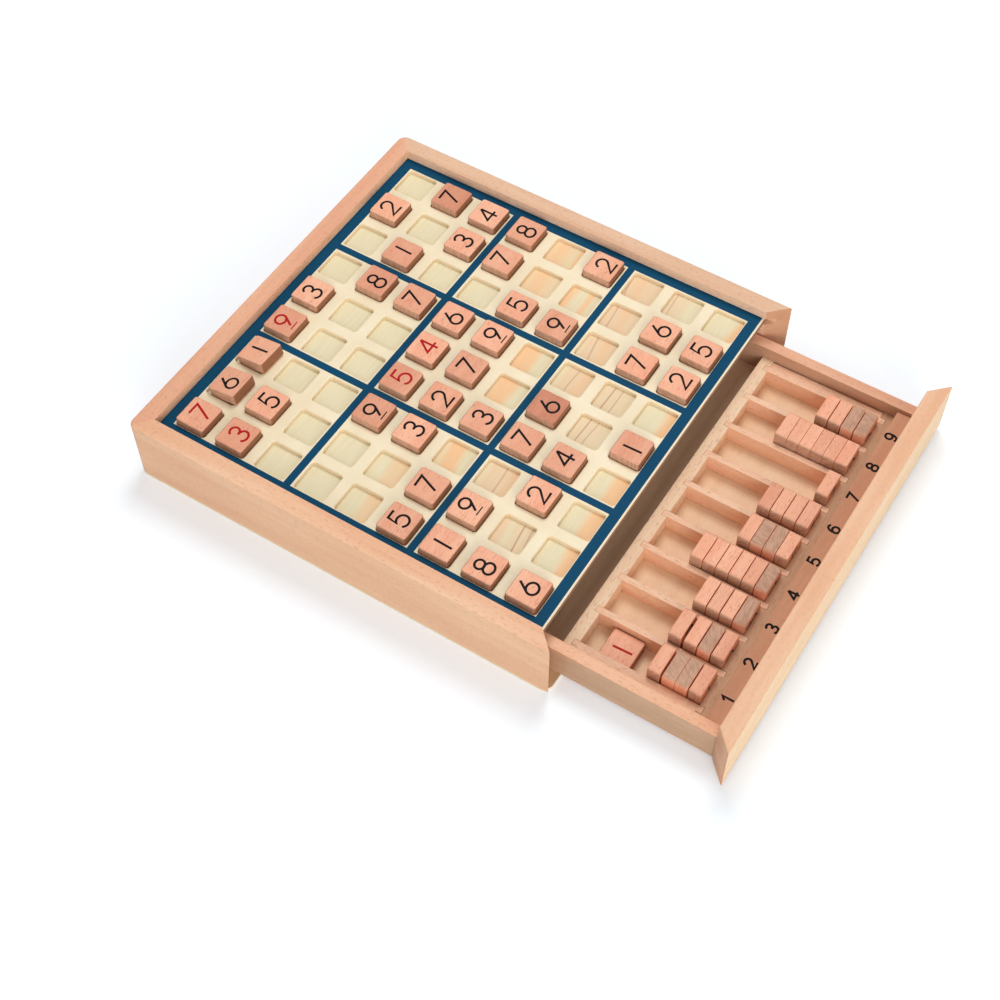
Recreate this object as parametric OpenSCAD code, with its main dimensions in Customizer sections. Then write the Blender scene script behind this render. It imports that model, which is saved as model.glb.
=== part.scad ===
// Sudoku board: a mitred beech case with a pocketed board, a drawer with a tray of nine
// compartments, and 81 loose number tiles, nine of each digit.
// Millimetres. +X is the player's right, +Y is away from the player and +Z is up.
// The origin is on the underside, below the middle of the board. The drawer opens toward -Y.

/* [Case] */
// Height of the case
case_h = 40; // [34:0.5:48]
// Width of the bars and thickness of the drawer front
bar_w = 10.2; // [8:0.2:11]
// Radius of the two upright corners at the back
corner_r = 5; // [3:0.5:6.5]
// Radius along the top outer edge of the bars
edge_r = 1.2; // [0.8:0.1:2.9]
// How much further the side bars reach to the front than the back bar does to the back
front_run = 1.2; // [0:0.1:4]
// Thickness of the bottom sheet
bottom_t = 1.8; // [1.2:0.1:3]
// Corner radius of the bottom sheet
bottom_r = 5; // [2:0.5:8]

/* [Board] */
// How far the bars stand up above the board
lip_h = 5.8; // [3:0.1:8]
// Width of the webs between the pockets
web_w = 6.8; // [6:0.1:9]
// Width of the board between the outer pockets and the bars
margin_w = 6.9; // [5:0.1:12]
// Corner radius of a pocket
pocket_r = 1.5; // [0.5:0.1:2]
// Thickness of the pocketed sheet, which is the depth of the pockets
grid_t = 2.6; // [2:0.1:3.5]
// Thickness of the sheet below the pockets
base_t = 1.6; // [1:0.1:3]
// Depth of the groove in the bars that holds the board
groove_d = 4.5; // [2:0.1:5]
// Play of the board in its groove
board_gap = 0.2; // [0.1:0.05:0.5]
// Gap between the board's front edge and the shut drawer's front
front_gap = 1.2; // [0.5:0.1:3]

/* [Drawer] */
// How far the drawer stands out of the case
drawer_out = 94.4; // [0:0.1:150]
// Gap in the mitres between the shut drawer's front and the side bars
mitre_gap = 0.3; // [0.2:0.05:0.8]
// How far the drawer's front stands up above the board
front_rise = 1.5; // [0:0.1:4]
// Gap between the drawer and the bottom of the case
drawer_lift = 0.2; // [0.1:0.05:0.5]
// Thickness of the drawer's sides
drawer_side_t = 6.4; // [5:0.1:8]
// Height of the drawer's sides
drawer_side_h = 20.3; // [18:0.1:23]
// Gap between each side of the drawer and the bar beside it
drawer_side_gap = 1.5; // [0.5:0.1:2]
// Thickness of the drawer's bottom sheet
drawer_bottom_t = 1.8; // [1.2:0.1:3]
// Width of the rabbets that hold the bottom sheet
rabbet_w = 3.2; // [1.5:0.1:4]
// Thickness of the strip that closes the drawer at the rear
drawer_back_t = 6.4; // [4:0.1:9]
// Gap between that strip and the back bar when the drawer is shut
drawer_back_gap = 4; // [1:0.5:20]

/* [Tray] */
// Width of the number strip, from front to back
strip_w = 9.9; // [8:0.1:14]
// Height of the number strip
strip_h = 16.2; // [12:0.1:18]
// Height of the tray's strips
tray_h = 10.8; // [8:0.1:12]
// Clear length of the compartments
tray_clear = 65.8; // [56:0.1:90]
// Thickness of the slotted cross strips
comb_t = 6.9; // [5:0.1:9]
// Depth of their slots
slot_d = 3; // [1.5:0.1:4]
// Thickness of the dividers
divider_t = 3.5; // [2.5:0.1:3.8]
// Thickness of the end strips
end_t = 7.3; // [5:0.1:8]
// Gap between the end strips and the drawer's sides
end_gap = 0.8; // [0.3:0.1:2]
// Gap around the tray's pieces where they fit together
fit_gap = 0.1; // [0.05:0.01:0.2]

/* [Tiles] */
// Width of a tile
tile_w = 17.6; // [15:0.1:20]
// Play of a tile in its pocket on each side
tile_gap = 0.3; // [0.25:0.05:0.6]
// Thickness of a tile
tile_t = 6.8; // [5:0.1:8]
// Width of the flats on a tile's four upright corners
tile_corner = 1; // [0.7:0.1:2]
// How far the tilted tiles have slipped from the back of their pockets
tilt_slip = 3; // [1:0.1:5]
// Gap between the tilted tiles and the pocket's front edge
tilt_gap = 0.3; // [0.2:0.1:1]
// Turn of the second tilted tile, in degrees
turn_angle = -2; // [-2:0.1:2]

/* [Hidden] */
$fn = 48;
// Length by which a cut runs past a face
overrun = 1;

// Colours as the wood and the print show them
beech = [0.91, 0.73, 0.58];
pale_beech = [0.95, 0.83, 0.66];
tile_beech = [0.89, 0.64, 0.52];
cream = [0.98, 0.93, 0.81];
straw = [0.90, 0.84, 0.69];
brown = [0.76, 0.54, 0.41];

// Pockets in a row and compartments in the tray, one for each digit
cells = 9;
middle = (cells - 1) / 2;

// The tiles on the board, with rows from the back and columns from the left: a dot is an empty pocket
board_rows = [
    "76193..2.",
    "35...81.7",
    ".....7.34",
    "..9546.78",
    "..32795..",
    "57.3..9.2",
    "19.76....",
    "8.24..76.",
    "6...1.25."
];

// Row and column, counted from 1, of the tiles that lie tilted on the front edge of their pocket,
// and the turn of each
tilted_places = ["12", "13"];
tilted_angles = [0, turn_angle];

// One list for each compartment, one entry for each standing tile, from the front to the back:
// the gap in front of the tile as a share of a tile's thickness
stand_gap_shares = [
    [0.02, 0.10, 0.02, 0.18],
    [0.02, 0.10, 0.10, 0.24],
    [0.02, 0.08, 0.08, 0.08],
    [0.02, 0.06, 0.06, 0.06, 0.06, 0.06],
    [0.02, 0.04, 0.04, 0.04],
    [0.02, 0.06, 0.06, 0.06],
    [0.02],
    [0.02, 0.02, 0.02, 0.02, 0.02, 0.02],
    [0.02, 0.08, 0.08, 0.08]
];
// One list for each compartment: the tiles that lie flat, each with its place as a share of the
// length that is left behind the standing tiles
flat_shares = [[0.5], [], [], [], [], [], [], [], []];

// Pockets
pocket_w = tile_w + 2 * tile_gap;
pitch = pocket_w + web_w;

// Plan of the case
case_in_x = (cells * pocket_w + (cells - 1) * web_w) / 2 + margin_w;
case_x = case_in_x + bar_w;
case_front_y = -(case_x + front_run);
corner_x = case_x - corner_r;

// Heights in the case
board_top_z = case_h - lip_h;
seat_z = board_top_z - grid_t;
base_z = seat_z - base_t;

// Plan of the board
groove_x = case_in_x + groove_d;
board_x = groove_x - board_gap;

// Plan of the shut drawer
shut_y = case_front_y - mitre_gap * sqrt(2);
front_back_y = shut_y + bar_w;
board_front_y = front_back_y + front_gap;
drawer_rear_y = case_in_x - drawer_back_gap;
drawer_x = case_in_x - drawer_side_gap;
drawer_in_x = drawer_x - drawer_side_t;

// Heights in the drawer
drawer_z = bottom_t + drawer_lift;
floor_z = drawer_z + drawer_bottom_t;

// Plan of the tray
comb_front_y = front_back_y + strip_w;
tray_front_y = comb_front_y + comb_t;
tray_back_y = tray_front_y + tray_clear;
comb_x = drawer_in_x - fit_gap;
end_x = drawer_in_x - end_gap;
end_in_x = end_x - end_t;
tray_pitch = (2 * end_in_x + divider_t) / cells;
slot_w = divider_t + 2 * fit_gap;
tongue_d = slot_d - fit_gap;

// Middle of a pocket from its row and column
function pocket_x(column) = (column - middle) * pitch;
function pocket_y(row) = (middle - row) * pitch;

// Middle of a slot, counted from the left
function slot_x(i) = (i - cells / 2) * tray_pitch;

// Sum of a list's entries up to and with entry i
function sum_to(list, i) = i < 0 ? 0 : list[i] + sum_to(list, i - 1);

// Front face of standing tile i, and the room that a compartment's standing tiles take
function stand_y(gaps, i) = tray_front_y + (i + sum_to(gaps, i)) * tile_t;
function stand_end_y(gaps) = stand_y(gaps, len(gaps) - 1) + tile_t;

// A box from its lower and upper corner
module box(low, high) {
    translate(low) cube(high - low);
}

// A rectangle with round corners from its lower and upper corner
module round_rect(low, high, r) {
    size = high - low;
    translate(low + [r, 0]) square(size - [2 * r, 0]);
    translate(low + [0, r]) square(size - [0, 2 * r]);
    for (x = [low.x + r, high.x - r], y = [low.y + r, high.y - r])
        translate([x, y]) circle(r);
}

// What rounding takes off the top outer edge of a bar, for an outer face at x = face
module edge_section(face) {
    translate([face - edge_r, case_h - edge_r]) difference() {
        square(edge_r + overrun);
        circle(edge_r);
    }
}

// The rounding along the outer edge of a straight bar toward +X, from y = 0 on
module edge_cut(length) {
    translate([0, length, 0]) rotate([90, 0, 0]) linear_extrude(length) edge_section(case_x);
}

// The rounding along the top of the upright corner at the back on the right
module corner_cut() {
    translate([corner_x, corner_x, 0]) rotate_extrude(angle = 90) edge_section(corner_r);
}

// Plan of the three bars together, with round corners at the back
module case_plan() {
    front_y = case_front_y - corner_r - overrun;
    round_rect([-case_x, front_y], [case_x, case_x], corner_r);
}

// The room for the board in the case, which grooves the three bars
module board_room() {
    box([-groove_x, case_front_y - overrun, base_z], [groove_x, groove_x, board_top_z + board_gap]);
}

module case_side() {
    color(beech) difference() {
        translate([0, 0, bottom_t]) linear_extrude(case_h - bottom_t) intersection() {
            case_plan();
            polygon([
                [case_x, case_front_y],
                [case_x, case_x],
                [case_in_x, case_in_x],
                [case_in_x, case_front_y + bar_w]
            ]);
        }
        translate([0, case_front_y - overrun, 0]) edge_cut(corner_x - case_front_y + overrun);
        corner_cut();
        board_room();
    }
}

module case_side_right() {
    case_side();
}

module case_side_left() {
    mirror([1, 0, 0]) case_side();
}

module case_back() {
    color(beech) difference() {
        translate([0, 0, bottom_t]) linear_extrude(case_h - bottom_t) intersection() {
            case_plan();
            polygon([
                [case_x, case_x],
                [-case_x, case_x],
                [-case_in_x, case_in_x],
                [case_in_x, case_in_x]
            ]);
        }
        rotate([0, 0, 90]) translate([0, -corner_x, 0]) edge_cut(2 * corner_x);
        corner_cut();
        mirror([1, 0, 0]) corner_cut();
        board_room();
    }
}

module case_bottom() {
    color(straw) linear_extrude(bottom_t)
        round_rect([-case_x, case_front_y], [case_x, case_x], bottom_r);
}

module board_grid() {
    color(cream) translate([0, 0, seat_z]) linear_extrude(grid_t) difference() {
        translate([-board_x, board_front_y]) square([2 * board_x, board_x - board_front_y]);
        for (row = [0:cells - 1], column = [0:cells - 1])
            translate([pocket_x(column), pocket_y(row)])
                round_rect([-pocket_w, -pocket_w] / 2, [pocket_w, pocket_w] / 2, pocket_r);
    }
}

module board_base() {
    color(straw) box([-board_x, board_front_y, base_z], [board_x, board_x, seat_z]);
}

// Everything in the drawer is placed as in the shut case and pulled out together
module pulled_out() {
    translate([0, -drawer_out, 0]) children();
}

module drawer_front() {
    color(pale_beech) pulled_out() translate([0, 0, drawer_z])
        linear_extrude(board_top_z + front_rise - drawer_z) polygon([
            [-case_x, shut_y],
            [case_x, shut_y],
            [case_in_x, front_back_y],
            [-case_in_x, front_back_y]
        ]);
}

module drawer_side() {
    color(beech) pulled_out() difference() {
        box([drawer_in_x, front_back_y, drawer_z], [drawer_x, drawer_rear_y, drawer_z + drawer_side_h]);
        box(
            [drawer_in_x - overrun, front_back_y - overrun, drawer_z - overrun],
            [drawer_in_x + rabbet_w, drawer_rear_y + overrun, floor_z]
        );
    }
}

module drawer_side_right() {
    drawer_side();
}

module drawer_side_left() {
    mirror([1, 0, 0]) drawer_side();
}

module drawer_back() {
    color(beech) pulled_out() box(
        [-drawer_in_x, drawer_rear_y - drawer_back_t, floor_z],
        [drawer_in_x, drawer_rear_y, drawer_z + drawer_side_h]
    );
}

module drawer_bottom() {
    sheet_x = drawer_in_x + rabbet_w - fit_gap;
    color(straw) pulled_out()
        box([-sheet_x, front_back_y, drawer_z], [sheet_x, drawer_rear_y, floor_z]);
}

module number_strip() {
    color(brown) pulled_out()
        box([-comb_x, front_back_y, floor_z], [comb_x, comb_front_y, floor_z + strip_h]);
}

// A slotted cross strip whose slots open toward +Y, with its plain face at y = 0
module tray_comb() {
    difference() {
        box([-comb_x, 0, floor_z], [comb_x, comb_t, floor_z + tray_h]);
        for (i = [0:cells])
            translate([slot_x(i), comb_t - slot_d, 0]) box(
                [-slot_w / 2, 0, floor_z - overrun],
                [slot_w / 2, slot_d + overrun, floor_z + tray_h + overrun]
            );
    }
}

module tray_comb_front() {
    color(tile_beech) pulled_out() translate([0, comb_front_y, 0]) tray_comb();
}

module tray_comb_back() {
    color(tile_beech) pulled_out()
        translate([0, tray_back_y + comb_t, 0]) mirror([0, 1, 0]) tray_comb();
}

// A thin strip that reaches with its two tongues into the slots numbered i
module tray_divider(i) {
    color(tile_beech) pulled_out() translate([slot_x(i), 0, 0]) box(
        [-divider_t / 2, tray_front_y - tongue_d, floor_z],
        [divider_t / 2, tray_back_y + tongue_d, floor_z + tray_h]
    );
}

module tray_end_left() {
    tray_divider(0);
    color(tile_beech) pulled_out() box(
        [-end_x, tray_front_y + fit_gap, floor_z],
        [slot_x(0), tray_back_y - fit_gap, floor_z + tray_h]
    );
}

module tray_end_right() {
    mirror([1, 0, 0]) tray_end_left();
}

// A tile that lies at the origin with its middle above it
module tile() {
    edge = tile_w / 2;
    flat = edge - tile_corner;
    color(tile_beech) linear_extrude(tile_t) polygon([
        [edge, flat],
        [flat, edge],
        [-flat, edge],
        [-edge, flat],
        [-edge, -flat],
        [-flat, -edge],
        [flat, -edge],
        [edge, -flat]
    ]);
}

// A tile whose lower back edge stands in a pocket and whose front lies on the pocket's front edge
module tilted_tile(turn) {
    reach = pocket_w - tilt_slip - tile_w / 2 * abs(sin(turn));
    tilt = atan((grid_t + tilt_gap) / reach);
    side = tile_w / 4 * sin(turn);
    translate([-side, pocket_w / 2 - tilt_slip, 0])
        rotate([-tilt, 0, turn]) translate([0, -tile_w / 2, 0]) tile();
}

module tiles_board(digit) {
    for (row = [0:cells - 1], column = [0:cells - 1])
        if (board_rows[row][column] == str(digit)) {
            tilted = search([str(row + 1, column + 1)], tilted_places)[0];
            translate([pocket_x(column), pocket_y(row), seat_z])
                if (is_num(tilted)) tilted_tile(tilted_angles[tilted]);
                else tile();
        }
}

module tiles_drawer(digit) {
    gaps = stand_gap_shares[digit - 1];
    middle_x = (slot_x(digit - 1) + slot_x(digit)) / 2;
    pulled_out() {
        for (i = [0:len(gaps) - 1])
            translate([middle_x, stand_y(gaps, i) + tile_t, floor_z + tile_w / 2])
                rotate([90, 0, 0]) tile();
        for (share = flat_shares[digit - 1]) {
            room = tray_back_y - stand_end_y(gaps) - tile_w;
            translate([middle_x, tray_back_y - tile_w / 2 - share * room, floor_z]) tile();
        }
    }
}

case_side_left();
case_side_right();
case_back();
case_bottom();
board_grid();
board_base();
drawer_front();
drawer_side_left();
drawer_side_right();
drawer_back();
drawer_bottom();
number_strip();
tray_comb_front();
tray_comb_back();
tray_end_left();
tray_end_right();
for (i = [1:cells - 1])
    tray_divider(i);
for (digit = [1:cells])
    tiles_board(digit);
for (digit = [1:cells])
    tiles_drawer(digit);
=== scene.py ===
"""The looks of a wooden sudoku board with a drawer of number tiles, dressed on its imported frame."""
import math
import random

import bmesh
import bpy
from mathutils import Matrix, Vector


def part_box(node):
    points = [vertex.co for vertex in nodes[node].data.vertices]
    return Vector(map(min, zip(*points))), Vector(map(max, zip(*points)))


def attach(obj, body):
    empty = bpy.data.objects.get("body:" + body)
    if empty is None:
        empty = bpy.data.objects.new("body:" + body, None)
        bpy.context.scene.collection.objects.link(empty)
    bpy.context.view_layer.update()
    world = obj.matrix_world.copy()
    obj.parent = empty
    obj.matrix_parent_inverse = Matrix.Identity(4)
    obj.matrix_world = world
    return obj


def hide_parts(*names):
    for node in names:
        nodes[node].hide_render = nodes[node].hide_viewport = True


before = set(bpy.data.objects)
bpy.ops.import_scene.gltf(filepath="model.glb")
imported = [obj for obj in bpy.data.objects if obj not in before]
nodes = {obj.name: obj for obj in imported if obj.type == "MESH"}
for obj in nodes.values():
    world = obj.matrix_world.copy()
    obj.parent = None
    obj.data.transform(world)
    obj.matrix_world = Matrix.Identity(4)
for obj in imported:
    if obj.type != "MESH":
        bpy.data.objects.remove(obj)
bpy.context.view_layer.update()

MM = 0.001
SAME_SPOT = 1e-6  # points closer than this, in metres, are one point
UP = Vector((0, 0, 1))
RIGHT = Vector((1, 0, 0))
TOWARD_PLAYER = Vector((0, -1, 0))

# Tiles: the corner radius seen from above, the radius of the worn edges of lying and of standing
# tiles, and the steps that draw a corner and an edge.
TILE_CORNER = 1.5 * MM
TILE_EDGE = 0.75 * MM
STANDING_EDGE = 0.4 * MM
CORNER_STEPS = 4
EDGE_STEPS = 3
# Each tile's own stretch of grain, in metres and radians: how far off it lies, leans and rolls.
GRAIN_AWAY = 5
GRAIN_LEAN = 0.12
GRAIN_ROLL = 1.5
# Tones run from 0, pale pink, to 1, brown.
TONES = {"board": (0.0, 0.5), "drawer": (-0.15, 0.4)}
# Tiles on the board, by row from the back and column from the left: those printed in red, and
# those that are clearly paler or browner.
RED_PLACES = {(1, 1), (2, 1), (1, 4), (4, 4), (4, 5)}
PLACE_TONES = {
    (2, 9): 0.8, (7, 5): 1.0, (4, 3): 0.55, (2, 6): 0.5,
    (3, 9): 0.05, (5, 3): -0.25, (8, 3): 0.0, (5, 6): 0.0, (1, 3): 0.1,
}
# Standing tiles, counted from the front of their compartment, that show end grain on top.
END_GRAIN_TOPS = {1: (1, 2), 2: (1,), 3: (0,), 4: (0,), 5: (1, 2), 9: (0, 1)}

# Printed digits on the tiles, and the slip, in millimetres, and turn, in degrees, of hand printing.
DIGITS = range(1, 10)
MIDDLE_DIGIT = 5
DIGIT_HEIGHT = 10.7 * MM
DIGIT_STROKE = 1.32 * MM
INK = 0.03 * MM
STROKE_RISE = 0.5  # each further stroke of a digit is thicker by this share of the ink
SLIP_ACROSS = 1.2
SLIP_ALONG = 0.8
PRINT_TURN = 3
# The 9 is smaller and lies higher, because a thin line runs below it.
NINE_SHARE = 0.92
NINE_LIFT = 0.5 * MM
UNDERLINE_SHARE = 0.5

# Digits on the number strip: their line lies at a share of the strip's width, less a shift.
STRIP_DIGIT_HEIGHT = 6.1 * MM
STRIP_DIGIT_STROKE = 1.3 * MM
STRIP_LINE = 0.65
STRIP_SHIFT_X = 1.3 * MM
STRIP_SHIFT_Y = 0.7 * MM
STRIP_STEP_MORE = 0.27 * MM  # they are this much further apart than the compartments

# Board: the pockets, and where the blue lines run, as distances from the board's centre.
PITCH = 25 * MM
PLACES = 9  # in a row and in a column
MIDDLE = 4
POCKET = 18.2 * MM
POCKET_CORNER = 1.5 * MM
POCKET_RIM = 0.8 * MM
RIM_TURNS = (0, 0.52, 1.05, math.pi / 2)  # steps of the rim's quarter turn
TOP_SHEET = 1.0 * MM  # the pale top layer, seen at the board's outer edge
LINE_PLACE = 37.5 * MM
LINE_WIDTH = 4.2 * MM
BORDER_INNER = 109.8 * MM
BORDER_GAP = 0.3 * MM  # between the blue border and the board's edge
BORDER_GAP_FRONT = 0.9 * MM

# Patterns: waves per metre along the grain and across it, in wood, in the veneer and in paint.
FIGURE = (10, 120, 120)
FIBRE = (80, 1500, 1500)
FLECKS = (330, 2100, 2100)
RINGS = (20, 900, 220)
VENEER_FIBRE = (60, 600, 600)
BAND_WAVES = (16, 16, 16)
MOTTLE = (60, 60, 60)
SPECKS = (900, 900, 900)
INK_PATCHES = (500, 500, 500)
# Relief of those patterns, and how dull or glossy the surfaces are.
WOOD_RELIEF = 0.08 * MM
BOARD_RELIEF = 0.02 * MM
INK_RELIEF = 0.01 * MM
WOOD_ROUGHNESS = 0.5
WOOD_GLOSS = 0.25
INK_GLOSS = 0.05

# Colours as they look on a screen, 0 to 255. A pair is the pale and the deep part of one surface,
# or an ink and its worn parts.
END_TINT = (238, 226, 216)
PINK_TILE = ((253, 194, 160), (246, 172, 138))
BROWN_TILE = ((218, 146, 116), (200, 126, 96))
TILE_FLECK = (186, 110, 84)
TILE_FLECK_SHARE = 0.55
TILE_END = ((208, 162, 134), (184, 140, 114))
# Painted shade: the front and back sides of lying tiles are darkened to this brown, where shade falls
# in the gaps beside them.
TILE_PAINTED_SHADE = (150, 98, 68)
CREAM = ((247, 232, 199), (240, 221, 184))
POCKET_WALL = (236, 214, 178)
# Painted shade: the dark brown of the board's lower front edge, where shade falls under the board's
# edge.
EDGE_SHADE_BROWN = (150, 116, 86)
VENEER = ((237, 225, 189), (231, 217, 178))
TRAY_FLOOR = ((250, 218, 182), (244, 206, 168))
# Painted shade: behind the tray the drawer's floor lies in the shade under the board, and is given
# this darker colour.
REAR_FLOOR_SHADE = ((216, 188, 158), (200, 170, 140))
DRAWER_FLECK = (176, 128, 94)
DRAWER_FLECK_SHARE = 0.2
TRAY_BLEND = 2 * MM  # how far the pale part of the drawer's floor runs into the darker part, which is painted shade
BOARD_RIM = ((254, 248, 230), (248, 238, 214))
BLACK = ((22, 18, 18), (48, 34, 30))
RED = ((178, 28, 30), (196, 66, 58))
BLUE = ((12, 72, 104), (18, 80, 114))

# Veneer under the pockets: bands along X, each with its middle and half width in millimetres,
# slope, colour and strength.
ORANGE, LINE_BROWN, ROSE = (250, 192, 138), (190, 136, 104), (238, 202, 164)
VENEER_BANDS = [
    (-3, 10, 0.07, ORANGE, 0.45), (-5, 3, 0.07, ORANGE, 0.4),
    (-20, 5, 0.07, ORANGE, 0.75), (-33, 1.6, 0.07, ORANGE, 0.7),
    (-53, 12, 0.04, ROSE, 0.75), (-48, 0.4, 0.07, LINE_BROWN, 0.5),
    (-54, 2.5, 0.07, ORANGE, 0.35), (-75, 9, 0.07, ROSE, 0.5),
    (-71, 0.45, 0.07, LINE_BROWN, 0.7), (-76, 0.4, 0.07, LINE_BROWN, 0.5),
    (-108, 5.2, -0.02, ORANGE, 0.75),
]
BAND_WAVE = 4 * MM  # how far the bands stray to either side
BAND_BLUR = 2.0  # the widest blur of a band's edge, in millimetres
BLUR_SHARE = 0.6

# Wood of the CAD nodes that keep their shape. Some sides have a pair of colours of their own: painted
# light or painted shade, paler or darker than the rest of the piece because of how light falls on
# them.
TO_LEFT, TO_FRONT, TO_TOP = (-1, 0, 0), (0, -1, 0), (0, 0, 1)
WOODS = {
    # Painted shade: the outer side is a little darker than the top.
    "case_side_left": {
        "name": "beech_left", "pale": (248, 202, 166), "deep": (238, 180, 142),
        "along": "Y", "shift": 0.1, "sides": [(TO_LEFT, (235, 194, 158), (225, 176, 141))],
    },
    # Painted light: the inner side, toward the left, is paler than the top.
    "case_side_right": {
        "name": "beech_right", "pale": (233, 193, 160), "deep": (223, 175, 141),
        "along": "Y", "shift": 0.5, "sides": [(TO_LEFT, (245, 208, 178), (236, 192, 160))],
    },
    # Painted light: the inner side, toward the player, is paler than the top.
    "case_back": {
        "name": "beech_back", "pale": (240, 184, 150), "deep": (230, 166, 132),
        "along": "X", "shift": 0.9, "sides": [(TO_FRONT, (255, 206, 166), (250, 190, 150))],
    },
    # Painted shade: the top of the bottom sheet, in the shade inside the case, is darker than its
    # rim.
    "case_bottom": {
        "name": "bottom_sheet", "pale": (254, 244, 220), "deep": (248, 232, 200),
        "along": "X", "shift": 1.3, "sides": [(TO_TOP, (222, 190, 150), (206, 172, 132))],
        "fleck_share": 0.1,
    },
    # Painted light: the outer face toward the player is paler than the top.
    "drawer_front": {
        "name": "beech_front", "pale": (246, 200, 164), "deep": (236, 180, 142),
        "along": "X", "shift": 1.7, "sides": [(TO_FRONT, (254, 226, 188), (246, 208, 166))],
        "fleck": (206, 152, 114), "fleck_share": 0.4,
    },
    # Painted shade: the outer side, beside the case, is darker than the top.
    "drawer_side_left": {
        "name": "drawer_left", "pale": (246, 194, 158), "deep": (236, 174, 138),
        "along": "Y", "shift": 2.1, "sides": [(TO_LEFT, (200, 164, 134), (186, 150, 120))],
    },
    # Painted shade: the inner side, toward the tray, is darker than the top.
    "drawer_side_right": {
        "name": "drawer_right", "pale": (236, 182, 148), "deep": (224, 162, 128),
        "along": "Y", "shift": 2.5, "sides": [(TO_LEFT, (204, 160, 130), (190, 144, 114))],
    },
    "drawer_back": {
        "name": "drawer_rear", "pale": (238, 196, 156), "deep": (224, 172, 130),
        "along": "X", "shift": 2.9,
    },
    "number_strip": {
        "name": "strip_brown", "pale": (214, 156, 120), "deep": (202, 140, 104),
        "along": "X", "shift": 3.7, "fleck_share": 0.25,
    },
    "tray_comb_back": {
        "name": "comb_beech", "pale": (250, 220, 186), "deep": (240, 200, 164),
        "along": "X", "shift": 4.1,
    },
    # Painted shade: the front comb, low between the tiles and the strip, is darker than the back
    # comb.
    "tray_comb_front": {
        "name": "comb_painted_shade", "pale": (214, 170, 134), "deep": (198, 152, 116),
        "along": "X", "shift": 4.3,
    },
}
DIVIDER_WOOD = {
    "name": "divider_beech", "pale": (250, 208, 174), "deep": (242, 190, 156),
    "along": "Y", "shift": 4.5,
}
# Painted shade: the board's outer edge below its pale top layer.
EDGE_SHADE_WOOD = {
    "name": "board_edge_shade", "pale": EDGE_SHADE_BROWN, "deep": (136, 104, 76),
    "along": "X", "shift": 5.0, "fleck_share": 0.1,
}
# Radius of the softly broken edges. The case bars keep the edges they have in the CAD.
TRAY_EDGE = 0.2 * MM
BROKEN_EDGES = {
    "case_bottom": 0.3 * MM, "drawer_front": 0.7 * MM,
    "drawer_side_left": 0.4 * MM, "drawer_side_right": 0.4 * MM, "drawer_back": 0.4 * MM,
    "number_strip": 0.3 * MM, "tray_comb_back": TRAY_EDGE, "tray_comb_front": TRAY_EDGE,
}
SHARP_ANGLE = 50  # in degrees; edges that turn by more than this are rounded
ROUNDING_STEPS = 3

# Light: the sky's strength, the point that the lamps look at, and their place, size and watts.
SKY_LIGHT = 0.46
LAMP_AIM = (0, -0.05, 0)
LAMPS = {
    "key": ((0.5, 0.14, 1.14), 0.6, 6.6),
    "fill": ((-1.6, -1.4, 0.66), 1.6, 28.0),
}

# Stage floor: the colour that light meets, the colour that is seen, and a glow that grows from
# near the object to far off, so that the floor goes to white.
FLOOR_HALF = 4.0
FLOOR_LIT = (0.8, 0.8, 0.8, 1)
FLOOR_SEEN = (0.86, 0.915, 0.965, 1)
WHITE = (1, 1, 1, 1)
NEAR, FAR = 0.45, 1.4
GLOW_NEAR, GLOW_FAR = 0.22, 0.6

# Camera, fitted to the photograph.
CAMERA_PLACE = (-0.4700, -0.3198, 0.7272)
CAMERA_AIM = (-0.0615, -0.0677, 0.0342)
CAMERA_ROLL = 0.295
SENSOR, LENS = 36, 60.78
SHIFT_X, SHIFT_Y = -0.01435, 0.00813


# Short calls for shader nodes.

def srgb(red, green, blue):
    """A colour as it looks on a screen, 0 to 255, turned into linear RGBA."""
    def linear(channel):
        share = channel / 255
        return share / 12.92 if share <= 0.04045 else ((share + 0.055) / 1.055) ** 2.4
    return (linear(red), linear(green), linear(blue), 1.0)


def material(name):
    """A new node material, with its tree and its main shader."""
    made = bpy.data.materials.new(name)
    made.use_nodes = True
    return made, made.node_tree, made.node_tree.nodes["Principled BSDF"]


def add(tree, kind, inputs=None, **settings):
    """A shader node: settings are its own options, inputs are values or sockets to join."""
    node = tree.nodes.new(kind)
    for key, value in settings.items():
        setattr(node, key, value)
    for key, value in (inputs or {}).items():
        if isinstance(value, bpy.types.NodeSocket):
            tree.links.new(value, node.inputs[key])
        else:
            node.inputs[key].default_value = value
    return node


def math_node(tree, operation, first, second=0.0, third=0.0):
    """A sum, a product or the like, of values or sockets."""
    inputs = {0: first, 1: second, 2: third}
    return add(tree, "ShaderNodeMath", inputs, operation=operation).outputs[0]


def ramp(tree, value, low, high, to_low=0.0, to_high=1.0):
    """The value's stretch from low to high, spread over to_low to to_high."""
    inputs = {
        "Value": value, "From Min": low, "From Max": high, "To Min": to_low, "To Max": to_high,
    }
    return add(tree, "ShaderNodeMapRange", inputs).outputs["Result"]


def mix(tree, share, first, second, blend="MIX"):
    """A colour between two, or the first one changed by the second."""
    inputs = {0: share, 6: first, 7: second}
    node = add(tree, "ShaderNodeMix", inputs, data_type="RGBA", blend_type=blend)
    return node.outputs[2]


def noise(tree, where, stretch, detail):
    """Noise with that many waves per metre along each axis."""
    inputs = {0: where, 1: stretch}
    scaled = add(tree, "ShaderNodeVectorMath", inputs, operation="MULTIPLY").outputs[0]
    inputs = {"Vector": scaled, "Scale": 1.0, "Detail": detail}
    return add(tree, "ShaderNodeTexNoise", inputs).outputs[0]


def object_place(tree):
    """Where a point lies on its own object, in metres."""
    return add(tree, "ShaderNodeTexCoord").outputs["Object"]


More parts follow.
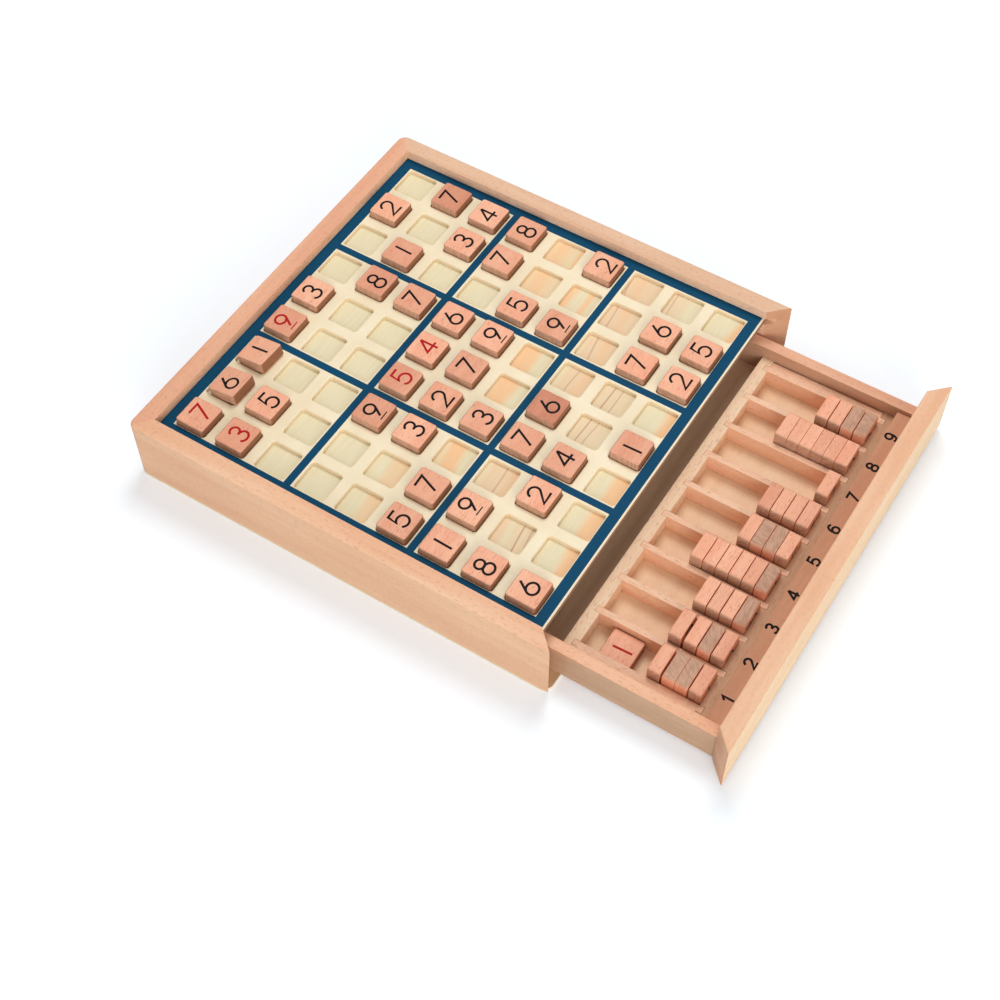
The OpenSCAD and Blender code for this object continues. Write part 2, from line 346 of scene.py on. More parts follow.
def place(tree, along, shift):
    """Object coordinates turned so that the grain runs along their first axis."""
    turns = {"X": (0, 0, 0), "Y": (0, 0, math.pi / 2)}
    inputs = {
        "Vector": object_place(tree),
        "Location": (shift, shift * 0.7, shift * 0.4),  # so that no two pieces look alike
        "Rotation": turns[along],
    }
    return add(tree, "ShaderNodeMapping", inputs).outputs[0]


def attribute(tree, name, output):
    """A value that the mesh carries, such as a tile's tone."""
    return add(tree, "ShaderNodeAttribute", attribute_name=name).outputs[output]


def facing(tree, axis):
    """How far a surface faces along an axis of its object: 1 toward it, -1 away."""
    normal = add(tree, "ShaderNodeTexCoord").outputs["Normal"]
    inputs = {0: normal, 1: axis}
    return add(tree, "ShaderNodeVectorMath", inputs, operation="DOT_PRODUCT").outputs["Value"]


def bump(tree, skin, height, depth, strength):
    """Makes the surface look raised where the height is large."""
    inputs = {"Height": height, "Distance": depth, "Strength": strength}
    tree.links.new(add(tree, "ShaderNodeBump", inputs).outputs[0], skin.inputs["Normal"])


# Materials.

def grain(tree, skin, where, pale, deep, fleck, fleck_share):
    """Beech: slow figure, fine fibres and short dark flecks, with their bump and gloss."""
    skin.inputs["Specular IOR Level"].default_value = WOOD_GLOSS
    figure = noise(tree, where, FIGURE, 3)
    fibre = noise(tree, where, FIBRE, 2)
    fleck_mask = ramp(tree, noise(tree, where, FLECKS, 1), 0.60, 0.72)
    colour = mix(tree, ramp(tree, figure, 0.32, 0.68), pale, deep)
    colour = mix(tree, ramp(tree, fibre, 0.35, 0.75, 0.0, 0.35), colour, deep)
    colour = mix(tree, math_node(tree, "MULTIPLY", fleck_mask, fleck_share), colour, fleck)
    dullness = ramp(tree, fibre, 0.3, 0.7, WOOD_ROUGHNESS - 0.05, WOOD_ROUGHNESS + 0.08)
    tree.links.new(dullness, skin.inputs["Roughness"])
    bump(tree, skin, math_node(tree, "SUBTRACT", fibre, fleck_mask), WOOD_RELIEF, 0.6)
    return colour


def wood(name, pale, deep, along, shift, fleck=(176, 118, 84), fleck_share=0.45, sides=()):
    """A beech piece with its grain along one axis and darker ends; some sides get painted light or
    painted shade.
    """
    made, tree, skin = material(name)
    where = place(tree, along, shift)
    pale_wood, deep_wood = srgb(*pale), srgb(*deep)
    # Painted light and painted shade: these sides are given their own colours.
    for toward, pale_side, deep_side in sides:
        share = ramp(tree, facing(tree, toward), 0.75, 0.95)
        pale_wood = mix(tree, share, pale_wood, srgb(*pale_side))
        deep_wood = mix(tree, share, deep_wood, srgb(*deep_side))
    colour = grain(tree, skin, where, pale_wood, deep_wood, srgb(*fleck), fleck_share)
    axis = {"X": (1, 0, 0), "Y": (0, 1, 0)}[along]
    ends = ramp(tree, math_node(tree, "ABSOLUTE", facing(tree, axis)), 0.68, 0.70)
    colour = mix(tree, ends, colour, srgb(*END_TINT), "MULTIPLY")
    tree.links.new(colour, skin.inputs["Base Color"])
    return made


def drawer_sheet():
    """The drawer's floor: pale in the tray, and darker behind it, where painted shade stands in for
    the shade under the board.
    """
    made, tree, skin = material("drawer_floor")
    where = place(tree, "X", 3.3)
    split = add(tree, "ShaderNodeSeparateXYZ", {0: object_place(tree)})
    # Behind the tray the floor is darkened with painted shade.
    tray_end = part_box("tray_comb_back")[1].y
    shade_behind = ramp(tree, split.outputs["Y"], tray_end - TRAY_BLEND, tray_end)
    pale, deep = (
        mix(tree, shade_behind, srgb(*in_tray), srgb(*in_rear_shade))
        for in_tray, in_rear_shade in zip(TRAY_FLOOR, REAR_FLOOR_SHADE)
    )
    colour = grain(tree, skin, where, pale, deep, srgb(*DRAWER_FLECK), DRAWER_FLECK_SHARE)
    tree.links.new(colour, skin.inputs["Base Color"])
    return made


def tile_wood():
    """Pink beech for the tiles: each has its own tone and its own stretch of grain, and lying tiles
    have painted shade on their front and back sides.
    """
    made, tree, skin = material("tile_beech")
    where = attribute(tree, "grain", "Vector")
    tone = attribute(tree, "tone", "Fac")
    pale, deep = (
        mix(tree, tone, srgb(*pink), srgb(*brown)) for pink, brown in zip(PINK_TILE, BROWN_TILE)
    )
    colour = grain(tree, skin, where, pale, deep, srgb(*TILE_FLECK), TILE_FLECK_SHARE)
    rings = ramp(tree, noise(tree, where, RINGS, 2), 0.36, 0.64)
    end_wood = mix(tree, rings, srgb(*TILE_END[0]), srgb(*TILE_END[1]))
    colour = mix(tree, attribute(tree, "end", "Fac"), colour, end_wood)
    # Painted shade on the front and back sides of lying tiles.
    colour = mix(tree, attribute(tree, "side_shade", "Fac"), colour, srgb(*TILE_PAINTED_SHADE))
    tree.links.new(colour, skin.inputs["Base Color"])
    return made


def board_paint():
    """Cream board: faintly mottled on top, tan where the pockets cut through the sheet."""
    made, tree, skin = material("board_cream")
    where = place(tree, "X", 0.0)
    mottle = noise(tree, where, MOTTLE, 4)
    speck = noise(tree, where, SPECKS, 2)
    top = mix(tree, ramp(tree, mottle, 0.3, 0.7), srgb(*CREAM[0]), srgb(*CREAM[1]))
    level = math_node(tree, "ABSOLUTE", facing(tree, TO_TOP))
    walls = ramp(tree, level, 0.1, 0.5, 1.0, 0.0)
    tree.links.new(mix(tree, walls, top, srgb(*POCKET_WALL)), skin.inputs["Base Color"])
    tree.links.new(ramp(tree, speck, 0.3, 0.7, 0.42, 0.55), skin.inputs["Roughness"])
    bump(tree, skin, speck, BOARD_RELIEF, 0.4)
    return made


def pocket_floor():
    """Pale veneer under the pockets: plain at the back, bands and lines toward the player, and
    painted shade on its front edge.
    """
    made, tree, skin = material("pocket_veneer")
    skin.inputs["Specular IOR Level"].default_value = WOOD_GLOSS
    where = place(tree, "X", 0.3)
    fibre = noise(tree, where, VENEER_FIBRE, 3)
    wave = noise(tree, where, BAND_WAVES, 1)
    split = add(tree, "ShaderNodeSeparateXYZ", {0: object_place(tree)})
    stray = ramp(tree, wave, 0.2, 0.8, -BAND_WAVE, BAND_WAVE)
    across = math_node(tree, "ADD", split.outputs["Y"], stray)
    colour = mix(tree, ramp(tree, fibre, 0.3, 0.8), srgb(*VENEER[0]), srgb(*VENEER[1]))
    for middle, half, slope, tint, share in VENEER_BANDS:
        drift = math_node(tree, "MULTIPLY_ADD", split.outputs["X"], slope, middle * MM)
        off = math_node(tree, "ABSOLUTE", math_node(tree, "SUBTRACT", across, drift))
        blur = min(BLUR_SHARE * half, BAND_BLUR)
        inside = ramp(tree, off, (half + blur) * MM, (half - blur) * MM, 0.0, share)
        colour = mix(tree, inside, colour, srgb(*tint))
    # Painted shade: the veneer sheet's front edge is dark brown.
    front_edge_shade = ramp(tree, facing(tree, TO_FRONT), 0.5, 0.8)
    colour = mix(tree, front_edge_shade, colour, srgb(*EDGE_SHADE_BROWN))
    tree.links.new(colour, skin.inputs["Base Color"])
    tree.links.new(ramp(tree, fibre, 0.3, 0.7, 0.5, 0.62), skin.inputs["Roughness"])
    bump(tree, skin, fibre, BOARD_RELIEF, 0.3)
    return made


def print_ink(name, colour, worn):
    """Printed colour that lets a little of the surface through."""
    made, tree, skin = material(name)
    skin.inputs["Specular IOR Level"].default_value = INK_GLOSS
    patches = noise(tree, object_place(tree), INK_PATCHES, 3)
    shown = mix(tree, ramp(tree, patches, 0.45, 0.75, 0.0, 0.5), srgb(*colour), srgb(*worn))
    tree.links.new(shown, skin.inputs["Base Color"])
    tree.links.new(ramp(tree, patches, 0.3, 0.7, 0.44, 0.56), skin.inputs["Roughness"])
    bump(tree, skin, patches, INK_RELIEF, 0.3)
    return made


# Digits as ribbons along strokes, in a field one unit high that stands on the base line.

def arc(x, y, wide, high, start, end, steps=18):
    """Points on an oval about (x, y), from one angle to another in degrees."""
    angles = [math.radians(start + (end - start) * i / steps) for i in range(steps + 1)]
    return [(x + wide * math.cos(a), y + high * math.sin(a)) for a in angles]


def half_turn(strokes):
    """The same strokes turned upside down: a 6 becomes a 9."""
    return [[(-x, 1 - y) for x, y in stroke] for stroke in strokes]


SIX = [arc(0, 0.3, 0.33, 0.3, 90, 450, 32), [(-0.27, 0.47), (0.09, 1.0)]]
UNDERLINE = [(-0.31, -0.17), (0.31, -0.17)]
TILE_DIGITS = {
    1: [[(0, 0), (0, 1)]],
    2: [arc(0, 0.7, 0.31, 0.3, 170, -38) + [(-0.34, 0), (0.36, 0)]],
    3: [
        arc(0, 0.76, 0.26, 0.24, 160, -90) + [(-0.06, 0.52)],
        arc(0, 0.26, 0.31, 0.26, 90, -160),
    ],
    4: [[(0.12, 1), (-0.38, 0.27), (0.36, 0.27)], [(0.12, 1), (0.12, 0)]],
    5: [[(0.28, 1), (-0.19, 1), (-0.26, 0.5)] + arc(0, 0.31, 0.33, 0.31, 140, -152)],
    6: SIX,
    7: [[(-0.33, 1), (0.33, 1), (-0.12, 0)]],
    8: [arc(0, 0.76, 0.26, 0.24, 90, 450, 28), arc(0, 0.27, 0.32, 0.27, 90, 450, 32)],
    9: half_turn(SIX),
}
# On the strip the 1 has a flag, and the 6 and the 9 are round.
ROUND_SIX = [arc(0, 0.31, 0.3, 0.31, 170, 530, 32), arc(0.03, 0.5, 0.33, 0.5, 185, 48)]
STRIP_DIGITS = {
    **TILE_DIGITS,
    1: [[(-0.24, 0.72), (0.06, 1.0), (0.06, 0)]],
    6: ROUND_SIX,
    9: half_turn(ROUND_SIX),
}


def ribbon(points, half_width):
    """The two edges of a stroke: pairs of points left and right of each corner."""
    pairs = []
    closed = (Vector(points[0]) - Vector(points[-1])).length < SAME_SPOT
    for i, point in enumerate(points):
        here = Vector(point)
        before = Vector(points[i - 1] if i else points[-2 if closed else 0])
        after = Vector(points[i + 1] if i + 1 < len(points) else points[1 if closed else -1])
        into, out = here - before, after - here
        into = (into if into.length else out).normalized()
        out = (out if out.length else into).normalized()
        side = Vector((-into.y - out.y, into.x + out.x)).normalized()
        # A sharp corner reaches at most twice as far out as the stroke's edge.
        reach = half_width / max(0.5, side.dot(Vector((-into.y, into.x))))
        pairs.append((here + side * reach, here - side * reach))
    return pairs


def ink_strokes(strokes, height, width, matrix, verts, faces):
    """Adds strokes to a mesh as thin closed ribbons on the plane of that matrix."""
    for layer, stroke in enumerate(strokes):
        scaled = [(x * height, (y - 0.5) * height) for x, y in stroke]
        pairs = ribbon(scaled, width / 2)
        first = len(verts)
        top = INK * (1 + STROKE_RISE * layer)
        for left, right in pairs:
            for point, level in ((left, top), (right, top), (right, 0), (left, 0)):
                verts.append(matrix @ Vector((point.x, point.y, level)))
        for i in range(len(pairs) - 1):
            a, b = first + 4 * i, first + 4 * i + 4
            for k in range(4):
                faces.append((a + k, b + k, b + (k + 1) % 4, a + (k + 1) % 4))
        faces.append((first + 3, first + 2, first + 1, first))
        last = first + 4 * (len(pairs) - 1)
        faces.append((last, last + 1, last + 2, last + 3))


def new_piece(name, verts, faces, body, slot, *materials):
    """A mesh object that rides on a body of the frame."""
    mesh = bpy.data.meshes.new(name)
    mesh.from_pydata([tuple(v) for v in verts], [], faces)
    mesh.update()
    piece = bpy.data.objects.new(name, mesh)
    bpy.context.scene.collection.objects.link(piece)
    for finish in materials:
        mesh.materials.append(finish)
    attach(piece, body)
    return piece


# Tiles.

def loose_groups(shape):
    """The points of each loose solid in a mesh, as sets."""
    groups = []
    done = set()
    for start in shape.verts:
        if start in done:
            continue
        todo, group = [start], {start}
        while todo:
            for edge in todo.pop().link_edges:
                for vert in edge.verts:
                    if vert not in group:
                        group.add(vert)
                        todo.append(vert)
        done |= group
        groups.append(group)
    return groups


def solids_of(node):
    """The loose solids of a CAD node: each one's corners, and its faces' areas and normals."""
    shape = bmesh.new()
    shape.from_mesh(node.data)
    bmesh.ops.remove_doubles(shape, verts=shape.verts, dist=SAME_SPOT)
    shape.faces.index_update()
    found = []
    for group in loose_groups(shape):
        skins = {face for vert in group for face in vert.link_faces}
        in_order = sorted(skins, key=lambda face: face.index)
        corners = [vert.co.copy() for vert in group]
        found.append((corners, [(face.calc_area(), face.normal.copy()) for face in in_order]))
    shape.free()
    return found


def tile_place(corners, skins):
    """A matrix whose third axis is the tile's printed side, and the tile's three lengths."""
    flat = max(skins, key=lambda skin: skin[0])[1].normalized()
    if flat.dot(UP if abs(flat.z) > 0.5 else TOWARD_PLAYER) < 0:
        flat = -flat
    upright = [skin for skin in skins if abs(skin[1].dot(flat)) < 0.1]
    side = max(upright, key=lambda skin: skin[0])[1].normalized()
    across = flat.cross(side)
    right = max((side, -side, across, -across), key=lambda axis: axis.dot(RIGHT))
    axes = (right, flat.cross(right), flat)
    spans = [[min(c.dot(a) for c in corners), max(c.dot(a) for c in corners)] for a in axes]
    centre = sum((a * (low + high) / 2 for a, (low, high) in zip(axes, spans)), Vector())
    matrix = Matrix(axes).transposed().to_4x4()
    matrix.translation = centre
    return matrix, [high - low for low, high in spans]


def lies_flat(matrix):
    """Whether a tile's printed side faces up."""
    return matrix.col[2].z > 0.5


def rounded_square(half, radius):
    """Corner points of a square with round corners, counter-clockwise."""
    points = []
    reach = (half - radius) * math.sqrt(2)
    for quarter in range(4):
        middle = math.pi / 2 * quarter + math.pi / 4
        for i in range(CORNER_STEPS + 1):
            turn = math.pi / 2 * (quarter + i / CORNER_STEPS)
            points.append((
                reach * math.cos(middle) + radius * math.cos(turn),
                reach * math.sin(middle) + radius * math.sin(turn),
            ))
    return points


def tile_shape(width, thick, edge):
    """Points and faces of one worn tile, centred, and which of its faces are smooth."""
    levels = []
    for i in range(EDGE_STEPS + 1):
        turn = math.pi / 2 * i / EDGE_STEPS
        levels.append((edge * (1 - math.sin(turn)), -thick / 2 + edge * (1 - math.cos(turn))))
    levels += [(inset, -z) for inset, z in reversed(levels)]
    verts, faces, smooth = [], [], []
    for inset, z in levels:
        loop = rounded_square(width / 2 - inset, TILE_CORNER - inset)
        verts += [(x, y, z) for x, y in loop]
    count = len(loop)
    for level in range(len(levels) - 1):
        a, b = level * count, (level + 1) * count
        for i in range(count):
            j = (i + 1) % count
            faces.append((a + i, a + j, b + j, b + i))
            is_side = level == len(levels) // 2 - 1 and i % (CORNER_STEPS + 1) == CORNER_STEPS
            smooth.append(not is_side)
    faces.append(tuple(reversed(range(count))))
    faces.append(tuple(range(len(verts) - count, len(verts))))
    smooth += [False, False]
    return verts, faces, smooth


def tile_grain(chance):
    """How a tile's own stretch of grain is turned, and how far off it lies."""
    away = Vector([chance.uniform(-GRAIN_AWAY, GRAIN_AWAY) for _ in range(3)])
    lean = Matrix.Rotation(chance.uniform(-GRAIN_LEAN, GRAIN_LEAN), 3, "Z")
    roll = Matrix.Rotation(chance.uniform(0, GRAIN_ROLL), 3, "X")
    return lean @ roll, away


def side_share(part):
    """How far a face belongs to a side, from its normal's part along that side's axis."""
    return min(1.0, max(0.0, (abs(part) - 0.4) / 0.5))


def set_attribute(piece, name, kind, domain, values):
    """Writes one list of values onto a piece, for its material to read."""
    field = "vector" if kind == "FLOAT_VECTOR" else "value"
    piece.data.attributes.new(name, kind, domain).data.foreach_set(field, values)


def tile_set(name, node_name, body, places, tones, finish):
    """All tiles of one CAD node as one piece, each with its own tone and stretch of grain."""
    verts, faces, smooth = [], [], []
    grains, tone_list, ends, side_shade = [], [], [], []
    chance = random.Random(name)
    for (matrix, size), tone in zip(places, tones):
        lies = lies_flat(matrix)
        points, quads, rounds = tile_shape(size[0], size[2], TILE_EDGE if lies else STANDING_EDGE)
        first = len(verts)
        turn, away = tile_grain(chance)
        for point in points:
            verts.append(matrix @ Vector(point))
            grains.extend(turn @ Vector(point) + away)
            tone_list.append(tone)
        for quad in quads:
            faces.append(tuple(first + i for i in quad))
            a, b, c = (Vector(points[i]) for i in quad[:3])
            normal = (b - a).cross(c - a).normalized()
            ends.append(side_share(normal.x))
            # Lying tiles get painted shade on their front and back sides.
            side_shade.append(side_share(normal.y) if lies else 0.0)
        smooth += rounds
    piece = new_piece(name, verts, faces, body, "tile", finish)
    piece.data.polygons.foreach_set("use_smooth", smooth)
    set_attribute(piece, "grain", "FLOAT_VECTOR", "POINT", grains)
    set_attribute(piece, "tone", "FLOAT", "POINT", tone_list)
    set_attribute(piece, "end", "FLOAT", "FACE", ends)
    set_attribute(piece, "side_shade", "FLOAT", "FACE", side_shade)
    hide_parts(node_name)


def digit_matrix(matrix, thick, chance):
    """The printed side of a tile, with the small slip and turn of hand printing."""
    slip_x = chance.uniform(-SLIP_ACROSS, SLIP_ACROSS) * MM
    slip_y = chance.uniform(-SLIP_ALONG, SLIP_ALONG) * MM
    turn = Matrix.Rotation(math.radians(chance.uniform(-PRINT_TURN, PRINT_TURN)), 4, "Z")
    return matrix @ Matrix.Translation((slip_x, slip_y, thick / 2)) @ turn


def print_digits(name, digit, body, places, red, inks):
    """The digit on each tile of a set, in the second ink where the red list says so."""
    is_nine = digit == 9
    height = DIGIT_HEIGHT * (NINE_SHARE if is_nine else 1.0)
    lift = Matrix.Translation((0, NINE_LIFT if is_nine else 0.0, 0))
    chance = random.Random(name)
    verts, faces, ink_of_face = [], [], []
    for (matrix, size), is_red in zip(places, red):
        on_tile = digit_matrix(matrix, size[2], chance) @ lift
        ink_strokes(TILE_DIGITS[digit], height, DIGIT_STROKE, on_tile, verts, faces)
        if is_nine:
            thin = UNDERLINE_SHARE * DIGIT_STROKE
            ink_strokes([UNDERLINE], height, thin, on_tile, verts, faces)
        ink_of_face += [int(is_red)] * (len(faces) - len(ink_of_face))
    piece = new_piece(name, verts, faces, body, "tile", *inks)
    piece.data.polygons.foreach_set("material_index", ink_of_face)


def board_place(matrix):
    """Row from the back and column from the left of a tile on the board."""
    spot = matrix.translation
    return MIDDLE + 1 - round(spot.y / PITCH), MIDDLE + 1 + round(spot.x / PITCH)


def turn_end_grain_up(digit, places):
    """Turns some standing tiles a quarter, so that their ends across the grain face up."""
    standing = [i for i, (matrix, _) in enumerate(places) if not lies_flat(matrix)]
    for count in END_GRAIN_TOPS.get(digit, ()):
        matrix, size = places[standing[count]]
        places[standing[count]] = (matrix @ Matrix.Rotation(math.pi / 2, 4, "Z"), size)


def from_front_left(tile):
    """Sorts tiles from the front to the back, and from the left to the right."""
    spot = tile[0].translation
    return round(spot.y, 4), round(spot.x, 4)


def make_tiles(finish, inks):
    """The tiles of each digit and their print, on the board and in the drawer."""
    for digit in DIGITS:
        for where in ("board", "drawer"):
            body = f"tiles_{where}_{digit}"
            places = [tile_place(*solid) for solid in solids_of(nodes[body])]
            places.sort(key=from_front_left)
            chance = random.Random(body)
            tones = [chance.uniform(*TONES[where]) for _ in places]
            if where == "board":
                spots = [board_place(matrix) for matrix, _ in places]
                red = [spot in RED_PLACES for spot in spots]
                tones = [PLACE_TONES.get(spot, tone) for spot, tone in zip(spots, tones)]
            else:
                red = [lies_flat(matrix) for matrix, _ in places]
                turn_end_grain_up(digit, places)
            tile_set(f"wood_{where}_{digit}", body, body, places, tones, finish)
            print_digits(f"digits_{where}_{digit}", digit, body, places, red, inks)


# Board sheet, and the prints on the board and the strip.

def pocket_cell(centre, corners, rings, verts, faces, smooth):
    """Adds one square of the board: its top around the pocket, the pocket's rim and its wall."""
    first = len(verts)
    verts += corners
    for grow, z in rings:
        loop = rounded_square(POCKET / 2 + grow, POCKET_CORNER + grow)
        verts += [(centre[0] + x, centre[1] + y, z) for x, y in loop]
    count = len(loop)
    per_corner = count // 4
    inner = first + len(corners)
    for corner in range(4):
        start = inner + corner * per_corner
        for k in range(per_corner - 1):
            faces.append((first + corner, start + k + 1, start + k))
        after = inner + (corner + 1) % 4 * per_corner
        end = start + per_corner - 1
        faces.append((first + corner, first + (corner + 1) % 4, after, end))
    smooth += [False] * (len(faces) - len(smooth))
    for ring in range(len(rings) - 1):
        a = inner + ring * count
        for k in range(count):
            n = (k + 1) % count
            faces.append((a + k, a + n, a + count + n, a + count + k))
            smooth.append(ring < len(rings) - 2)


def add_walls(shape, rim_edges, foot, paint=0):
    """Adds an upright wall below each rim edge, down to the foot, always in the same order."""
    below = {}
    for edge in rim_edges:
        loop = edge.link_loops[0]
        start, end = loop.vert, loop.link_loop_next.vert
        for vert in (start, end):
            if vert not in below:
                below[vert] = shape.verts.new((vert.co.x, vert.co.y, foot))
        wall = shape.faces.new((end, start, below[start], below[end]))
        wall.material_index = paint


def board_skirt(piece, levels):
    """Joins the board's squares and closes its outer edge, with one material per level."""
    shape = bmesh.new()
    shape.from_mesh(piece.data)
    bmesh.ops.remove_doubles(shape, verts=shape.verts, dist=SAME_SPOT)
    for paint, (start_z, end_z) in enumerate(zip(levels, levels[1:]), start=1):
        rim_edges = [
            edge for edge in shape.edges
            if edge.is_boundary and all(abs(v.co.z - start_z) < SAME_SPOT for v in edge.verts)
        ]
        add_walls(shape, rim_edges, end_z, paint)
    bmesh.ops.recalc_face_normals(shape, faces=shape.faces)
    shape.to_mesh(piece.data)
    shape.free()


def board_sheet(finish, rim_paint, lower_edge_shade):
    """The cream sheet: 81 round-cornered pockets with soft rims, cut through to the veneer."""
    low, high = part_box("board_grid")
    rings = [
        (POCKET_RIM * (1 - math.sin(t)), high.z - POCKET_RIM * (1 - math.cos(t)))
        for t in RIM_TURNS
    ]
    rings.append((0, low.z))
    inner_edges = [(i - MIDDLE + 0.5) * PITCH for i in range(PLACES - 1)]
    xs = [low.x, *inner_edges, high.x]
    ys = [low.y, *inner_edges, high.y]
    verts, faces, smooth = [], [], []
    for i in range(PLACES):
        for j in range(PLACES):
            around = ((i + 1, j + 1), (i, j + 1), (i, j), (i + 1, j))
            corners = [(xs[a], ys[b], high.z) for a, b in around]
            centre = ((i - MIDDLE) * PITCH, (j - MIDDLE) * PITCH)
            pocket_cell(centre, corners, rings, verts, faces, smooth)
    piece = new_piece("board_sheet", verts, faces, "case", "board", finish, rim_paint, lower_edge_shade)
    piece.data.polygons.foreach_set("use_smooth", smooth)
    # Below the pale rim, the board's outer edge is painted shade.
    board_skirt(piece, (high.z, high.z - TOP_SHEET, low.z))
    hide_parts("board_grid")


def printed_lines(finish):
    """The blue border and the two pairs of blue lines, as one thin sheet on the board."""
    low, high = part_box("board_grid")
    half = LINE_WIDTH / 2
    inner = [
        -BORDER_INNER, -LINE_PLACE - half, -LINE_PLACE + half,
        LINE_PLACE - half, LINE_PLACE + half, BORDER_INNER,
    ]
    xs = [low.x + BORDER_GAP, *inner, high.x - BORDER_GAP]
    ys = [low.y + BORDER_GAP_FRONT, *inner, high.y - BORDER_GAP]
    line_cells = {0, 2, 4, 6}
    shape = bmesh.new()
    grid = [[shape.verts.new((x, y, high.z + INK)) for y in ys] for x in xs]
    for i in range(len(xs) - 1):
        for j in range(len(ys) - 1):
            if i in line_cells or j in line_cells:
                square = (grid[i][j], grid[i + 1][j], grid[i + 1][j + 1], grid[i][j + 1])
                shape.faces.new(square)
    unused = [vert for vert in shape.verts if not vert.link_faces]
    bmesh.ops.delete(shape, geom=unused, context="VERTS")
    rim_edges = [edge for edge in shape.edges if edge.is_boundary]
    add_walls(shape, rim_edges, high.z)
    shape.normal_update()
    piece = new_piece("printed_lines", [], [], "case", "board", finish)
    shape.to_mesh(piece.data)
    shape.free()


def strip_digits(finish):
    """1 to 9 on the strip, one beside each compartment."""
    low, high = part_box("number_strip")
    first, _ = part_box("tray_divider_1")
    second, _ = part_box("tray_divider_2")
    step = second.x - first.x + STRIP_STEP_MORE
    y = low.y + STRIP_LINE * (high.y - low.y) - STRIP_SHIFT_Y
    verts, faces = [], []
    for digit in DIGITS:
        x = (digit - MIDDLE_DIGIT) * step - STRIP_SHIFT_X
        spot = Matrix.Translation((x, y, high.z))
        strokes = STRIP_DIGITS[digit]
        ink_strokes(strokes, STRIP_DIGIT_HEIGHT, STRIP_DIGIT_STROKE, spot, verts, faces)
    new_piece("strip_digits", verts, faces, "drawer", "strip", finish)


# CAD nodes that keep their shape: they get a finish, and most get softly broken edges.

def dress(name, finish, edge=0.0):
    """Gives a node its finish, and rounds its sharp edges where a radius is given."""
    node = nodes[name]
    node.data.materials.clear()
    node.data.materials.append(finish)
    if edge:
        node.modifiers.new("join", "WELD").merge_threshold = SAME_SPOT
        soft = node.modifiers.new("edge", "BEVEL")
        soft.width = edge
        soft.segments = ROUNDING_STEPS
        soft.limit_method = "ANGLE"
        soft.angle_limit = math.radians(SHARP_ANGLE)
        soft.loop_slide = False  # a bevel that slides would leave the node's own box
        node.modifiers.new("shade", "WEIGHTED_NORMAL")


def dress_frame():
    """A finish for every CAD node that is seen."""
    for name, look in WOODS.items():
        dress(name, wood(**look), BROKEN_EDGES.get(name, 0.0))
    divider = wood(**DIVIDER_WOOD)
    for name in nodes:
        if name.startswith(("tray_divider", "tray_end")):
            dress(name, divider, TRAY_EDGE)
    dress("board_base", pocket_floor())
    dress("drawer_bottom", drawer_sheet())


# Stage, light and camera.

def seen_share(tree):
    """1 for rays that show a surface, also mirrored, and 0 for rays that only carry light."""
    seen = add(tree, "ShaderNodeLightPath").outputs
    shown = math_node(tree, "MAXIMUM", seen["Is Camera Ray"], seen["Is Glossy Ray"])
    return math_node(tree, "MAXIMUM", shown, seen["Is Transmission Ray"])


def floor_white():
    """The floor's material: pale where light meets it, and near white where it is seen."""
    made, tree, skin = material("floor_white")
    skin.inputs["Roughness"].default_value = 0.9
    skin.inputs["Specular IOR Level"].default_value = 0.0
    skin.inputs["Emission Color"].default_value = WHITE
    shown = seen_share(tree)
    tree.links.new(mix(tree, shown, FLOOR_LIT, FLOOR_SEEN), skin.inputs["Base Color"])
    where = {0: object_place(tree)}
    away = add(tree, "ShaderNodeVectorMath", where, operation="LENGTH").outputs["Value"]
    glow = ramp(tree, away, NEAR, FAR, GLOW_NEAR, GLOW_FAR)
    tree.links.new(math_node(tree, "MULTIPLY", shown, glow), skin.inputs["Emission Strength"])
    return made


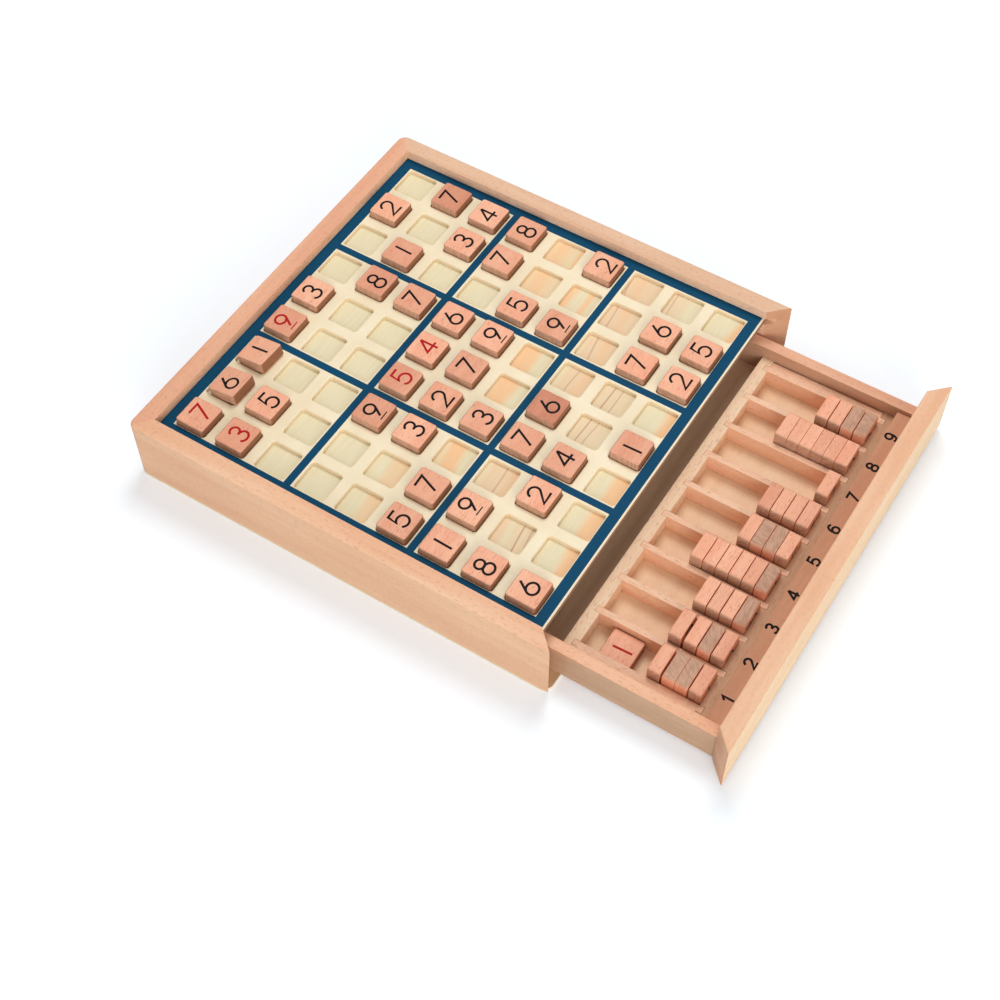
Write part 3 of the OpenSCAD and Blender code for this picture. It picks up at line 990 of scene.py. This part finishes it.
def floor():
    """A pale floor that goes to white and keeps the shadow."""
    signs = ((-1, -1), (1, -1), (1, 1), (-1, 1))
    corners = [(x * FLOOR_HALF, y * FLOOR_HALF, 0) for x, y in signs]
    mesh = bpy.data.meshes.new("floor")
    mesh.from_pydata(corners, [], [(0, 1, 2, 3)])
    mesh.materials.append(floor_white())
    ground = bpy.data.objects.new("floor", mesh)
    bpy.context.scene.collection.objects.link(ground)


def lamp(name, location, size, energy):
    """A large round lamp that looks at the board."""
    data = bpy.data.lights.new(name, "AREA")
    data.shape = "DISK"
    data.size = size
    data.energy = energy
    made = bpy.data.objects.new(name, data)
    made.location = location
    made.rotation_mode = "QUATERNION"
    made.rotation_quaternion = (Vector(LAMP_AIM) - made.location).to_track_quat("-Z", "Y")
    bpy.context.scene.collection.objects.link(made)


def light():
    """An even pale sky, a soft lamp above the board's right side, and a fill from the left."""
    world = bpy.data.worlds.new("studio")
    world.use_nodes = True
    tree = world.node_tree
    sky = tree.nodes["Background"]
    sky.inputs["Color"].default_value = WHITE
    strength = ramp(tree, seen_share(tree), 0, 1, SKY_LIGHT, 1.0)
    tree.links.new(strength, sky.inputs["Strength"])
    bpy.context.scene.world = world
    for name, (location, size, energy) in LAMPS.items():
        lamp(name, location, size, energy)


def camera():
    """The photograph's view."""
    data = bpy.data.cameras.new("camera")
    data.sensor_width = SENSOR
    data.lens = LENS
    data.shift_x, data.shift_y = SHIFT_X, SHIFT_Y
    seen_from = bpy.data.objects.new("camera", data)
    location, target = Vector(CAMERA_PLACE), Vector(CAMERA_AIM)
    aim = (target - location).to_track_quat("-Z", "Y").to_matrix().to_4x4()
    roll = Matrix.Rotation(math.radians(CAMERA_ROLL), 4, "Z")
    seen_from.matrix_world = Matrix.Translation(location) @ aim @ roll
    bpy.context.scene.collection.objects.link(seen_from)
    bpy.context.scene.camera = seen_from


camera()
light()
floor()
dress_frame()
board_sheet(board_paint(), print_ink("board_rim", *BOARD_RIM), wood(**EDGE_SHADE_WOOD))
black_ink = print_ink("ink_black", *BLACK)
make_tiles(tile_wood(), (black_ink, print_ink("ink_red", *RED)))
printed_lines(print_ink("ink_blue", *BLUE))
strip_digits(black_ink)
bpy.context.scene.view_settings.view_transform = "Standard"
